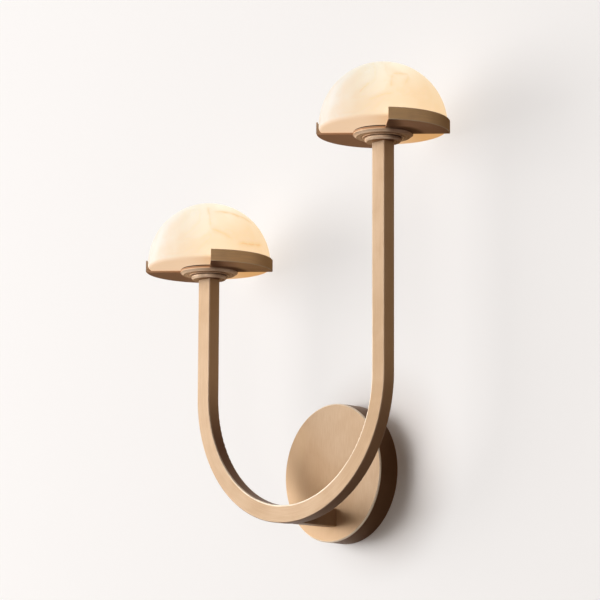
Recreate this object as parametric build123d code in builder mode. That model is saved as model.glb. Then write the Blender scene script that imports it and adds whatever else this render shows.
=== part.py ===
from build123d import *
import math
import os

# Wall light with two alabaster domes on a U of rectangular tube.
# Millimetres. +X is right and +Z is up, seen from the room. The wall is the plane Y = 0 and the room is on
# its -Y side. The origin is at the middle of the bracket's back, on the wall.

# Canopy, the round cup on the wall
canopy_diameter = 120.0
canopy_depth = 20.5
canopy_wall = 1.6
canopy_face = 2.0
canopy_bevel = 0.9

# Rectangular tube, bent to a U with a short left arm and a tall right arm
bar_width = 15.2
bar_depth = 12.0
bar_wall = 1.5
bar_corner = 0.9
bar_reach = 66.5
bend_radius = 111.0
left_arm_length = 105.5
right_arm_length = 194.8

# Stem between the canopy and the lowest point of the U
stem_edge_gap = 21.0
stem_width = 12.0
stem_corner = 0.8
stem_screw_spacing = 10.6
stem_screw_grip = 10.0
wire_hole_radius = 3.0

# Steel strap on the wall, with slots for the outlet box and tabs that hold the canopy
strap_width = 20.0
strap_thickness = 2.0
strap_bend = 2.0
tab_gap = 3.0
tab_length = 14.0
slot_spacing = 65.0
slot_length = 15.0
slot_width = 4.8
lock_screw_radius = 2.0
lock_screw_length = 7.6
lock_screw_depth = 9.0

# Supply terminals on the strap
pole_spacing = 7.0
pole_count = 3
block_width = 16.0
block_depth = 12.0
block_height = 8.0
pole_bore_radius = 1.3
pole_screw_radius = 1.5
pole_screw_offset = 4.5
pole_wire_insert = 5.0
fixing_radius = 1.25
fixing_head_radius = 2.2
fixing_head_height = 1.6

# Earth connection on the strap
earth_drop = 12.0
earth_screw_radius = 2.0
earth_head_radius = 3.5
earth_head_height = 2.4
ring_radius = 4.0
ring_thickness = 0.8
barrel_start = 4.4
barrel_length = 5.0
barrel_radius = 1.6
barrel_lift = 2.0
earth_wire_radius = 0.9
earth_wire_reach = 6.5

# Lamp driver on a foam pad inside the canopy
driver_width = 22.0
driver_length = 44.0
driver_depth = 13.0
driver_corner = 2.0
driver_edge_gap = 2.0
driver_pad_thickness = 1.0
driver_pad_inset = 2.0
driver_wire_radius = 1.0

# Leads from the driver to the lamps
lead_radius = 1.2
lead_spacing = 2.8
lead_row_gap = 3.0
lead_exit_gap = 7.0
lead_setback = 1.5
lead_canopy_turn = 7.0
lead_tube_turn = 4.5
lead_straight = 0.5

# Turned discs at the top of each arm
cap_radius = 15.6
cap_bevel = 1.3
cap_band = 1.5
cap_neck_radius = 13.6
cap_neck_height = 0.7
spigot_length = 8.0
spigot_clearance = 0.1
seat_radius = 25.4
seat_edge = 0.9
seat_bevel_height = 1.9
seat_bevel_depth = 2.6
seat_step_radius = 17.5
seat_step_height = 0.7

# Dome of alabaster, a half sphere on a short straight skirt, hollow, with a mouth in its floor
dome_radius = 54.4
dome_skirt = 4.4
dome_wall = 8.0
dome_floor = 9.0
dome_edge = 3.0
mouth_radius = 19.0
mouth_bevel = 0.8

# Tray, a shallow dish with two windows that leave two blades with upright rims
dome_clearance = 0.7
rim_thickness = 1.3
rim_height = 10.7
rim_tip = 0.4
tray_thickness = 1.4
tray_inner_corner = 2.5
tray_outer_corner = 0.8
window_angle = 96.0
back_window_turn = 92.5
front_window_turn = 272.5

# Rubber ring between the tray and the stone
gasket_inset = 1.0
gasket_width = 4.5
gasket_thickness = 1.0

# Threaded stack that clamps the tray and carries the lamp
nipple_radius = 5.0
nipple_bore_radius = 3.5
nipple_stand = 1.2
thread_clearance = 0.15
washer_radius = 8.0
washer_thickness = 0.8
nut_across_flats = 14.0
nut_height = 3.0
bracket_thickness = 1.0
bracket_width = 14.0
bracket_bend = 0.5
bracket_leg_gap = 1.4
bracket_head_gap = 0.8
holder_length = 19.0
holder_width = 9.5
holder_height = 9.0
holder_screw_spacing = 13.0
holder_screw_radius = 1.25
holder_screw_head_radius = 2.2
holder_screw_head_height = 1.6
screw_head_clearance = 0.2
pin_spacing = 4.0
pin_radius = 0.35
pin_length = 7.5
pin_clearance = 0.25
lamp_base_radius = 4.5
lamp_base_height = 5.0
lamp_radius = 5.2
lamp_height = 19.0

# Small screws
screw_shank_radius = 1.5
screw_head_radius = 2.8
screw_head_height = 2.0
socket_share = 0.55
socket_depth_share = 0.6
window_margin = 1.0

# Places worked out from the sizes above
canopy_radius = canopy_diameter / 2
canopy_inner_radius = canopy_radius - canopy_wall
canopy_inner_depth = canopy_depth - canopy_face
stem_z = stem_edge_gap - canopy_radius
stem_length = bar_reach - bar_depth / 2 - canopy_depth
bend_z = bend_radius + stem_z
left_arm_top = bend_z + left_arm_length
right_arm_top = bend_z + right_arm_length
tab_outer = canopy_inner_radius - tab_gap
block_length = pole_spacing * pole_count
pole_heights = [block_height + pole_spacing * (pole - (pole_count - 1) / 2) for pole in range(pole_count)]
pole_depth = strap_thickness + block_depth / 2
fixing_heights = [block_height - pole_spacing / 2, block_height + pole_spacing / 2]
earth_z = -earth_drop
driver_back = canopy_inner_depth - driver_pad_thickness - driver_depth
driver_right = math.sqrt(canopy_inner_radius**2 - (driver_length / 2) ** 2) - driver_edge_gap
driver_middle = driver_right - driver_width / 2
driver_left = driver_right - driver_width
lead_depth = driver_back + driver_depth / 2
lead_tube_depth = bar_reach + lead_setback
cap_height = cap_bevel + cap_band + cap_neck_height
seat_height = seat_step_height + seat_bevel_height + seat_edge
tray_inner_radius = dome_radius + dome_clearance
tray_radius = tray_inner_radius + rim_thickness
gasket_radius = seat_radius - gasket_inset
dome_inner_radius = dome_radius - dome_wall
nut_radius = nut_across_flats / math.sqrt(3)
bracket_leg = nut_radius + bracket_leg_gap
bracket_room = nut_height + nipple_stand + bracket_head_gap
bracket_height = bracket_room + 2 * bracket_thickness
holder_half = holder_length / 2

# Heights above the top of the tube's end
seat_level = cap_height
tray_level = seat_level + seat_height
washer_level = tray_level + tray_thickness
dome_level = washer_level + gasket_thickness
bracket_level = washer_level + washer_thickness
nut_level = bracket_level + bracket_thickness
holder_level = bracket_level + bracket_height
lamp_level = holder_level + holder_height
nipple_length = nut_level + nut_height + nipple_stand

os.makedirs("parts", exist_ok=True)


def save(piece, name):
    """Label a finished piece and write it under its own name."""
    piece.part.label = name
    export_step(piece.part, f"parts/{name}.step")


def screw(seat, shank_radius, shank_length, head_radius, head_height):
    """A socket screw with its head behind the seat plane and its shank along the plane's normal."""
    with BuildPart() as piece:
        with BuildSketch(seat):
            Circle(shank_radius)
        extrude(amount=shank_length)
        with BuildSketch(seat):
            Circle(head_radius)
        extrude(amount=-head_height)
        with BuildSketch(seat.offset(-head_height)):
            RegularPolygon(head_radius * socket_share, side_count=6)
        extrude(amount=head_height * socket_depth_share, mode=Mode.SUBTRACT)
    return piece.part


def wire(points, radii, wire_radius):
    """A round wire along straight runs joined by tangent arcs."""
    with BuildPart() as piece:
        with BuildLine() as route:
            FilletPolyline(*points, radius=radii)
        with BuildSketch(Plane(origin=route.line @ 0, z_dir=route.line % 0)):
            Circle(wire_radius)
        sweep(path=route.line)
    return piece.part


# Wall bracket
with BuildPart() as wall_bracket:
    with BuildSketch(Plane.YZ):
        with Locations((-tab_length / 2, 0)):
            Rectangle(tab_length, 2 * tab_outer)
        with Locations((-(tab_length + strap_thickness) / 2, 0)):
            Rectangle(tab_length - strap_thickness, 2 * (tab_outer - strap_thickness), mode=Mode.SUBTRACT)
    extrude(amount=strap_width / 2, both=True)
    fillet(wall_bracket.edges().filter_by(Axis.X).group_by(Axis.Y)[-1], radius=strap_bend)
    with BuildSketch(Plane.XZ):
        with GridLocations(0, slot_spacing, 1, 2):
            SlotOverall(slot_length, slot_width, rotation=90)
        with Locations((0, earth_z)):
            Circle(earth_screw_radius + thread_clearance)
        with Locations(*[(0, height) for height in fixing_heights]):
            Circle(fixing_radius + thread_clearance)
    extrude(amount=strap_thickness, mode=Mode.SUBTRACT)
    with BuildSketch(Plane.XY.offset(-tab_outer)):
        with Locations((0, -lock_screw_depth)):
            Circle(lock_screw_radius + thread_clearance)
    extrude(amount=2 * tab_outer, mode=Mode.SUBTRACT)
save(wall_bracket, "wall_bracket")

# Canopy
with BuildPart() as canopy:
    with BuildSketch(Plane.XZ):
        Circle(canopy_radius)
    extrude(amount=canopy_depth)
    chamfer(canopy.faces().sort_by(Axis.Y)[0].edges(), length=canopy_bevel)
    with BuildSketch(Plane.XZ):
        Circle(canopy_inner_radius)
    extrude(amount=canopy_inner_depth, mode=Mode.SUBTRACT)
    with BuildSketch(Plane.XZ.offset(canopy_inner_depth)):
        with Locations((0, stem_z)):
            Circle(wire_hole_radius)
            with GridLocations(0, stem_screw_spacing, 1, 2):
                Circle(screw_shank_radius + thread_clearance)
    extrude(amount=canopy_face, mode=Mode.SUBTRACT)
    with BuildSketch(Plane.XY.offset(-canopy_radius)):
        with Locations((0, -lock_screw_depth)):
            Circle(lock_screw_radius + thread_clearance)
    extrude(amount=canopy_diameter, mode=Mode.SUBTRACT)
save(canopy, "canopy")

# Headless screws that stand in the tabs and reach into the canopy's wall
with BuildPart() as canopy_screws:
    for way in (-1, 1):
        outer_end = Plane(origin=(0, -lock_screw_depth, way * canopy_radius), z_dir=(0, 0, -way))
        with BuildSketch(outer_end.offset(canopy_wall / 2)):
            Circle(lock_screw_radius)
            RegularPolygon(lock_screw_radius * socket_share, side_count=6, mode=Mode.SUBTRACT)
        extrude(amount=lock_screw_length)
save(canopy_screws, "canopy_screws")

# Stem
with BuildPart() as stem:
    with BuildSketch(Plane.XZ.offset(canopy_depth)):
        with Locations((0, stem_z)):
            RectangleRounded(stem_width, bar_width, stem_corner)
            Circle(wire_hole_radius, mode=Mode.SUBTRACT)
    extrude(amount=stem_length)
    with BuildSketch(Plane.XZ.offset(canopy_depth)):
        with Locations((0, stem_z)):
            with GridLocations(0, stem_screw_spacing, 1, 2):
                Circle(screw_shank_radius + thread_clearance)
    extrude(amount=stem_screw_grip, mode=Mode.SUBTRACT)
save(stem, "stem")

# Screws from inside the canopy into the stem
with BuildPart() as stem_screws:
    for height in (stem_z - stem_screw_spacing / 2, stem_z + stem_screw_spacing / 2):
        inner_face = Plane(origin=(0, -canopy_inner_depth, height), z_dir=(0, -1, 0))
        shank = canopy_face + stem_screw_grip - screw_head_clearance
        add(screw(inner_face, screw_shank_radius, shank, screw_head_radius, screw_head_height))
save(stem_screws, "stem_screws")

# U of rectangular tube
with BuildPart() as arm_tube:
    with BuildLine(Plane.XZ.offset(bar_reach)) as run:
        Line((-bend_radius, left_arm_top), (-bend_radius, bend_z))
        CenterArc((0, bend_z), bend_radius, 180, 180)
        Line((bend_radius, bend_z), (bend_radius, right_arm_top))
    left_end = Plane(origin=(-bend_radius, -bar_reach, left_arm_top), x_dir=(1, 0, 0), z_dir=(0, 0, -1))
    with BuildSketch(left_end):
        RectangleRounded(bar_width, bar_depth, bar_corner)
        Rectangle(bar_width - 2 * bar_wall, bar_depth - 2 * bar_wall, mode=Mode.SUBTRACT)
    sweep(path=run.line)
    with BuildSketch(Plane.XZ.offset(bar_reach - bar_depth / 2)):
        with Locations((0, stem_z)):
            Circle(wire_hole_radius)
    extrude(amount=bar_wall, mode=Mode.SUBTRACT)
save(arm_tube, "arm_tube")

# Terminal block on the strap, with a bore and two screw wells for each pole
with BuildPart() as terminal_block:
    with BuildSketch(Plane.XZ.offset(strap_thickness)):
        with Locations((0, block_height)):
            Rectangle(block_width, block_length)
    extrude(amount=block_depth)
    with BuildSketch(Plane.YZ.offset(-block_width / 2)):
        with Locations(*[(-pole_depth, height) for height in pole_heights]):
            Circle(pole_bore_radius)
    extrude(amount=block_width, mode=Mode.SUBTRACT)
    with BuildSketch(Plane.XZ.offset(pole_depth)):
        with Locations((0, block_height)):
            with GridLocations(2 * pole_screw_offset, pole_spacing, 2, pole_count):
                Circle(pole_screw_radius + thread_clearance)
    extrude(amount=block_depth / 2, mode=Mode.SUBTRACT)
    for height in fixing_heights:
        with Locations(Plane(origin=(0, -strap_thickness - block_depth, height), z_dir=(0, -1, 0))):
            CounterBoreHole(
                fixing_radius + thread_clearance,
                fixing_head_radius + screw_head_clearance,
                fixing_head_height + screw_head_clearance,
            )
save(terminal_block, "terminal_block")

# Clamping screws of the poles, just clear of the wires
with BuildPart() as terminal_screws:
    tip_depth = pole_depth + driver_wire_radius + screw_head_clearance
    with BuildSketch(Plane.XZ.offset(tip_depth)):
        with Locations((0, block_height)):
            with GridLocations(2 * pole_screw_offset, pole_spacing, 2, pole_count):
                Circle(pole_screw_radius)
    extrude(amount=strap_thickness + block_depth - tip_depth - screw_head_clearance)
    with BuildSketch(Plane.XZ.offset(strap_thickness + block_depth - screw_head_clearance)):
        with Locations((0, block_height)):
            with GridLocations(2 * pole_screw_offset, pole_spacing, 2, pole_count):
                Rectangle(2 * pole_screw_radius, pole_screw_radius * socket_share)
    extrude(amount=-pole_screw_radius * socket_depth_share, mode=Mode.SUBTRACT)
save(terminal_screws, "terminal_screws")

# Screws that fix the terminal block to the strap
with BuildPart() as terminal_fixings:
    head_seat = strap_thickness + block_depth - fixing_head_height - screw_head_clearance
    for height in fixing_heights:
        seat = Plane(origin=(0, -head_seat, height), z_dir=(0, 1, 0))
        shank = head_seat - screw_head_clearance
        add(screw(seat, fixing_radius, shank, fixing_head_radius, fixing_head_height))
save(terminal_fixings, "terminal_fixings")

# Earth ring terminal, its screw and its wire to the first pole
with BuildPart() as earth_ring:
    with BuildSketch(Plane.XZ.offset(strap_thickness)):
        with Locations((0, earth_z)):
            Circle(ring_radius)
            with Locations((barrel_start / 2 + barrel_length / 4, 0)):
                Rectangle(barrel_start + barrel_length / 2, 2 * barrel_radius)
            Circle(earth_screw_radius + thread_clearance, mode=Mode.SUBTRACT)
    extrude(amount=ring_thickness)
    with BuildSketch(Plane.YZ.offset(barrel_start)):
        with Locations((-strap_thickness - barrel_lift, earth_z)):
            Circle(barrel_radius)
            Circle(earth_wire_radius + thread_clearance, mode=Mode.SUBTRACT)
    extrude(amount=barrel_length)
save(earth_ring, "earth_ring")

with BuildPart() as earth_screw:
    ring_face = Plane(origin=(0, -strap_thickness - ring_thickness, earth_z), z_dir=(0, 1, 0))
    shank = ring_thickness + strap_thickness
    add(screw(ring_face, earth_screw_radius, shank, earth_head_radius, earth_head_height))
save(earth_screw, "earth_screw")

with BuildPart() as earth_wire:
    barrel_y = -strap_thickness - barrel_lift
    wire_right = block_width / 2 + earth_wire_reach
    wire_corner = min(earth_wire_reach, wire_right - barrel_start - barrel_length) * 2 / 3
    wire_points = [
        (block_width / 2 - pole_wire_insert, -pole_depth, pole_heights[0]),
        (wire_right, -pole_depth, pole_heights[0]),
        (wire_right, barrel_y, earth_z),
        (barrel_start + barrel_length / 2, barrel_y, earth_z),
    ]
    add(wire(wire_points, wire_corner, earth_wire_radius))
save(earth_wire, "earth_wire")

# Lamp driver, its foam pad and its link to the terminals
with BuildPart() as driver_pad:
    with BuildSketch(Plane.XZ.offset(canopy_inner_depth - driver_pad_thickness)):
        with Locations((driver_middle, 0)):
            Rectangle(driver_width - 2 * driver_pad_inset, driver_length - 2 * driver_pad_inset)
    extrude(amount=driver_pad_thickness)
save(driver_pad, "driver_pad")

with BuildPart() as lamp_driver:
    with BuildSketch(Plane.XZ.offset(driver_back)):
        with Locations((driver_middle, 0)):
            Rectangle(driver_width, driver_length)
    extrude(amount=driver_depth)
    fillet(lamp_driver.edges().filter_by(Axis.Y), radius=driver_corner)
    chamfer(lamp_driver.faces().sort_by(Axis.Y)[-1].edges(), length=driver_corner / 2)
save(lamp_driver, "lamp_driver")

with BuildPart() as driver_wires:
    wire_start = block_width / 2 - pole_wire_insert
    with BuildSketch(Plane.YZ.offset(wire_start)):
        with Locations(*[(-pole_depth, height) for height in pole_heights[1:]]):
            Circle(driver_wire_radius)
    extrude(amount=driver_left - wire_start)
save(driver_wires, "driver_wires")

# The two arms' own pieces
for side, way, arm_top in (("left", -1, left_arm_top), ("right", 1, right_arm_top)):
    arm_x = way * bend_radius
    arm_axis = Axis((arm_x, -bar_reach, 0), (0, 0, 1))
    arm_end = Plane((arm_x, -bar_reach, arm_top))
    arm_section = Plane(origin=(arm_x, -bar_reach, arm_top), x_dir=(1, 0, 0), z_dir=(0, -1, 0))

    # Small disc on the tube's end, with a neck above and a spigot below
    with BuildPart() as arm_cap:
        with BuildSketch(arm_section):
            with BuildLine():
                Polyline(
                    (0, 0),
                    (cap_radius - cap_bevel, 0),
                    (cap_radius, cap_bevel),
                    (cap_radius, cap_bevel + cap_band),
                    (cap_neck_radius, cap_bevel + cap_band),
                    (cap_neck_radius, cap_height),
                    (0, cap_height),
                    close=True,
                )
            make_face()
        revolve(axis=arm_axis)
        with BuildSketch(arm_end):
            spigot_gap = 2 * (bar_wall + spigot_clearance)
            Rectangle(bar_width - spigot_gap, bar_depth - spigot_gap)
        extrude(amount=-spigot_length)
        with BuildSketch(arm_end):
            Circle(nipple_radius + thread_clearance)
        extrude(amount=cap_height, mode=Mode.SUBTRACT)
        with BuildSketch(arm_end):
            Circle(wire_hole_radius)
        extrude(amount=-spigot_length, mode=Mode.SUBTRACT)
    save(arm_cap, f"{side}_arm_cap")

    # Wide bevelled disc under the tray
    with BuildPart() as seat_disc:
        with BuildSketch(arm_section.shift_origin(arm_section.from_local_coords((0, seat_level)))):
            with BuildLine():
                Polyline(
                    (nipple_radius + thread_clearance, 0),
                    (seat_step_radius, 0),
                    (seat_step_radius, seat_step_height),
                    (seat_radius - seat_bevel_depth, seat_step_height),
                    (seat_radius, seat_step_height + seat_bevel_height),
                    (seat_radius, seat_height),
                    (nipple_radius + thread_clearance, seat_height),
                    close=True,
                )
            make_face()
        revolve(axis=arm_axis)
    save(seat_disc, f"{side}_seat_disc")

    # Hollow threaded nipple through the stack
    with BuildPart() as nipple:
        with BuildSketch(arm_end):
            Circle(nipple_radius)
            Circle(nipple_bore_radius, mode=Mode.SUBTRACT)
        extrude(amount=nipple_length)
    save(nipple, f"{side}_nipple")

    # Tray
    tray_section = arm_section.shift_origin(arm_section.from_local_coords((0, tray_level)))
    with BuildPart() as tray:
        with BuildSketch(tray_section):
            with BuildLine():
                FilletPolyline(
                    (nipple_radius + thread_clearance, 0),
                    (tray_radius, 0),
                    (tray_radius, rim_height),
                    (tray_inner_radius, rim_height),
                    (tray_inner_radius, tray_thickness),
                    (nipple_radius + thread_clearance, tray_thickness),
                    radius=[0, tray_outer_corner, rim_tip, rim_tip, tray_inner_corner, 0],
                    close=True,
                )
            make_face()
        revolve(axis=arm_axis)
        for middle in (back_window_turn, front_window_turn):
            window_start = middle - window_angle / 2
            with BuildSketch(arm_end.offset(tray_level)):
                with BuildLine():
                    inner_arc = CenterArc((0, 0), seat_radius, window_start, window_angle)
                    outer_arc = CenterArc((0, 0), tray_radius + window_margin, window_start, window_angle)
                    Line(inner_arc @ 0, outer_arc @ 0)
                    Line(inner_arc @ 1, outer_arc @ 1)
                make_face()
            extrude(amount=rim_height, mode=Mode.SUBTRACT)
    save(tray, f"{side}_tray")

    # Rubber ring that the stone sits on
    with BuildPart() as gasket:
        with BuildSketch(arm_end.offset(washer_level)):
            Circle(gasket_radius)
            Circle(gasket_radius - gasket_width, mode=Mode.SUBTRACT)
        extrude(amount=gasket_thickness)
    save(gasket, f"{side}_gasket")

    # Washer and nut that clamp the stack
    with BuildPart() as lock_washer:
        with BuildSketch(arm_end.offset(washer_level)):
            Circle(washer_radius)
            Circle(nipple_radius + thread_clearance, mode=Mode.SUBTRACT)
        extrude(amount=washer_thickness)
    save(lock_washer, f"{side}_lock_washer")

    with BuildPart() as lock_nut:
        with BuildSketch(arm_end.offset(nut_level)):
            RegularPolygon(nut_radius, side_count=6)
            Circle(nipple_radius + thread_clearance, mode=Mode.SUBTRACT)
        extrude(amount=nut_height)
    save(lock_nut, f"{side}_lock_nut")

    # Strip that is clamped under the nut and carries the lampholder above it
    bracket_section = arm_section.shift_origin(arm_section.from_local_coords((0, bracket_level)))
    with BuildPart() as holder_bracket:
        with BuildSketch(bracket_section):
            outer_bend = bracket_bend + bracket_thickness
            with BuildLine():
                FilletPolyline(
                    (-nut_radius, 0),
                    (bracket_leg + bracket_thickness, 0),
                    (bracket_leg + bracket_thickness, bracket_height),
                    (-holder_half, bracket_height),
                    (-holder_half, bracket_height - bracket_thickness),
                    (bracket_leg, bracket_height - bracket_thickness),
                    (bracket_leg, bracket_thickness),
                    (-nut_radius, bracket_thickness),
                    radius=[0, outer_bend, outer_bend, 0, 0, bracket_bend, bracket_bend, 0],
                    close=True,
                )
            make_face()
        extrude(amount=bracket_width / 2, both=True)
        with BuildSketch(arm_end.offset(bracket_level)):
            Circle(nipple_radius + thread_clearance)
        extrude(amount=bracket_thickness, mode=Mode.SUBTRACT)
        with BuildSketch(arm_end.offset(holder_level)):
            Circle(wire_hole_radius)
            with GridLocations(holder_screw_spacing, 0, 2, 1):
                Circle(holder_screw_radius + thread_clearance)
        extrude(amount=-bracket_thickness, mode=Mode.SUBTRACT)
    save(holder_bracket, f"{side}_holder_bracket")

    # Ceramic lampholder with two pin sockets, and its screws
    with BuildPart() as lampholder:
        with BuildSketch(arm_end.offset(holder_level)):
            SlotOverall(holder_length, holder_width)
        extrude(amount=holder_height)
        with Locations(arm_end.offset(lamp_level)):
            with GridLocations(holder_screw_spacing, 0, 2, 1):
                CounterBoreHole(
                    holder_screw_radius + thread_clearance,
                    holder_screw_head_radius + screw_head_clearance,
                    holder_screw_head_height + screw_head_clearance,
                )
            with GridLocations(0, pin_spacing, 1, 2):
                Hole(pin_radius + pin_clearance, depth=pin_length + pin_clearance)
    save(lampholder, f"{side}_lampholder")

    with BuildPart() as holder_screws:
        holder_seat = lamp_level - holder_screw_head_height - screw_head_clearance
        for offset in (-holder_screw_spacing / 2, holder_screw_spacing / 2):
            seat = Plane(origin=(arm_x + offset, -bar_reach, arm_top + holder_seat), z_dir=(0, 0, -1))
            shank = holder_seat - holder_level + bracket_thickness
            add(screw(seat, holder_screw_radius, shank, holder_screw_head_radius, holder_screw_head_height))
    save(holder_screws, f"{side}_holder_screws")

    # Lamp, its base and its two pins
    with BuildPart() as lamp_base:
        with BuildSketch(arm_end.offset(lamp_level)):
            Circle(lamp_base_radius)
        extrude(amount=lamp_base_height)
    save(lamp_base, f"{side}_lamp_base")

    with BuildPart() as lamp_pins:
        with BuildSketch(arm_end.offset(lamp_level)):
            with GridLocations(0, pin_spacing, 1, 2):
                Circle(pin_radius)
        extrude(amount=-pin_length)
    save(lamp_pins, f"{side}_lamp_pins")

    with BuildPart() as lamp:
        with BuildSketch(arm_end.offset(lamp_level + lamp_base_height)):
            Circle(lamp_radius)
        extrude(amount=lamp_height - lamp_radius)
        tip_centre = arm_top + lamp_level + lamp_base_height + lamp_height - lamp_radius
        with Locations((arm_x, -bar_reach, tip_centre)):
            Sphere(lamp_radius)
    save(lamp, f"{side}_lamp")

    # Lead from the driver through the stem, the U and the nipple to the lampholder
    with BuildPart() as lead:
        lead_x = way * lead_spacing / 2
        exit_x = driver_middle - way * lead_exit_gap / 2
        row_y = -lead_depth - way * lead_row_gap / 2
        lead_points = [
            (exit_x, row_y, -driver_length / 2),
            (exit_x, row_y, stem_z),
            (lead_x, row_y, stem_z),
            (lead_x, -lead_tube_depth, stem_z),
            (arm_x, -lead_tube_depth, stem_z),
            (arm_x, -lead_tube_depth, arm_top + holder_level),
        ]
        lead_bend = bend_radius - lead_spacing / 2 - lead_tube_turn - lead_straight
        add(wire(lead_points, [lead_canopy_turn, lead_canopy_turn, lead_tube_turn, lead_bend], lead_radius))
    save(lead, f"{side}_lead")

    # Alabaster dome
    dome_section = arm_section.shift_origin(arm_section.from_local_coords((0, dome_level)))
    floor_angle = math.degrees(math.asin((dome_floor - dome_skirt) / dome_inner_radius))
    with BuildPart() as dome:
        with BuildSketch(dome_section):
            with BuildLine():
                Polyline((mouth_radius, dome_floor), (mouth_radius, 0), (dome_radius - dome_edge, 0))
                CenterArc((dome_radius - dome_edge, dome_edge), dome_edge, -90, 90)
                Line((dome_radius, dome_edge), (dome_radius, dome_skirt))
                CenterArc((0, dome_skirt), dome_radius, 0, 90)
                Line((0, dome_skirt + dome_radius), (0, dome_skirt + dome_inner_radius))
                inner_curve = CenterArc((0, dome_skirt), dome_inner_radius, floor_angle, 90 - floor_angle)
                Line(inner_curve @ 0, (mouth_radius, dome_floor))
            make_face()
        revolve(axis=arm_axis)
        mouth_edges = dome.edges().filter_by(GeomType.CIRCLE).filter_by(
            lambda edge: abs(edge.radius - mouth_radius) < mouth_bevel
        )
        chamfer(mouth_edges, length=mouth_bevel)
    save(dome, f"{side}_dome")
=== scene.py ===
import math

import bpy
from mathutils import Matrix, Vector


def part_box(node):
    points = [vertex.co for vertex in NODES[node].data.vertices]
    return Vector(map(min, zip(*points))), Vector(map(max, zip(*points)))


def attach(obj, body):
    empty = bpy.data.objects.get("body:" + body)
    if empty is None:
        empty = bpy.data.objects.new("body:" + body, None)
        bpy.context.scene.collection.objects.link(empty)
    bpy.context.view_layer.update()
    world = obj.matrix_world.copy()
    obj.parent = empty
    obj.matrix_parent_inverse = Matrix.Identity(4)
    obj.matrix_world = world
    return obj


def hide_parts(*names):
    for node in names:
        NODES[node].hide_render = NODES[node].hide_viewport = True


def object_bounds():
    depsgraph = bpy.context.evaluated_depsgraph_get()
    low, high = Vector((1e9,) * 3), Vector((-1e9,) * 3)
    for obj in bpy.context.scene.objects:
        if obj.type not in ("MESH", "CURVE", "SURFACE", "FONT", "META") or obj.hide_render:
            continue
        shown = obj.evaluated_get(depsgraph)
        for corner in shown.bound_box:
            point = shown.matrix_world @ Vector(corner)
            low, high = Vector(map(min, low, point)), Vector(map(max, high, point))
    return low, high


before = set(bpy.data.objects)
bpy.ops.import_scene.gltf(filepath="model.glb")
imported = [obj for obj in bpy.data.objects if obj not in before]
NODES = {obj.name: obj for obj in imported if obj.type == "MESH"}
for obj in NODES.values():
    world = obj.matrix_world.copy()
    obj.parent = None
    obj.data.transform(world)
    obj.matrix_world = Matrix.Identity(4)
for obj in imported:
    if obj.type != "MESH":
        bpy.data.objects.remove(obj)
cad_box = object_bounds()

bl_info = {
    "name": "Alabaster Wall Light",
    "version": (1, 0, 0),
    "blender": (4, 5, 0),
    "location": "View3D > Sidebar > Wall Light",
    "description": "Finishes the pieces of a wall light with two alabaster domes on a bent brass tube",
    "category": "Object",
}

SIDES = ("left", "right")
MILLIMETRE = 0.001

# Places read from the frame
DOME_BOX = {side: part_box(f"{side}_dome") for side in SIDES}
TUBE_LOW, TUBE_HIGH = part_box("arm_tube")
PLATE_LOW, PLATE_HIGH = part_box("canopy")
TRAY_BOX = {side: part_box(f"{side}_tray") for side in SIDES}
DISC_LOW, DISC_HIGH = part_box("right_seat_disc")
LAMP_BOX = {side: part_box(f"{side}_lamp") for side in SIDES}
NIPPLE_BOX = {side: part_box(f"{side}_nipple") for side in SIDES}
ARM_X = (DISC_LOW.x + DISC_HIGH.x) / 2
ARM_Y = (TUBE_LOW.y + TUBE_HIGH.y) / 2
BEND_RADIUS = ARM_X
BEND_Z = TUBE_LOW.z + TUBE_HIGH.x
BAR_HALF_WIDTH = TUBE_HIGH.x - ARM_X
BAR_HALF_DEPTH = (TUBE_HIGH.y - TUBE_LOW.y) / 2

# The way to the side that the key light falls on
LIT_WAY = Vector((-0.75, -0.65, 0.1))
# The way to the wall plate's edge that carries painted light, and to the part of its face that carries
# painted shade
PLATE_LIGHT_WAY = Vector((-0.75, 0.0, -0.65))
BLACK = (0.0, 0.0, 0.0)


def colour(name, words, value):
    """A colour property with its name and words."""
    return bpy.props.FloatVectorProperty(
        name=name, description=words, default=value, subtype="COLOR", size=3, min=0.0, max=1.0
    )


def length(name, words, value):
    """A length property in metres with its name and words."""
    return bpy.props.FloatProperty(name=name, description=words, default=value, unit="LENGTH", precision=5)


def power(name, words, value):
    """A power property in watts with its name and words."""
    return bpy.props.FloatProperty(name=name, description=words, default=value, min=0.0, unit="POWER")


def spot(name, words, value):
    """A place in metres with its name and words."""
    return bpy.props.FloatVectorProperty(name=name, description=words, default=value, unit="LENGTH")


def share(name, words, value, top=1.0):
    """A plain number from nothing to a top value."""
    return bpy.props.FloatProperty(name=name, description=words, default=value, min=0.0, max=top)


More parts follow.
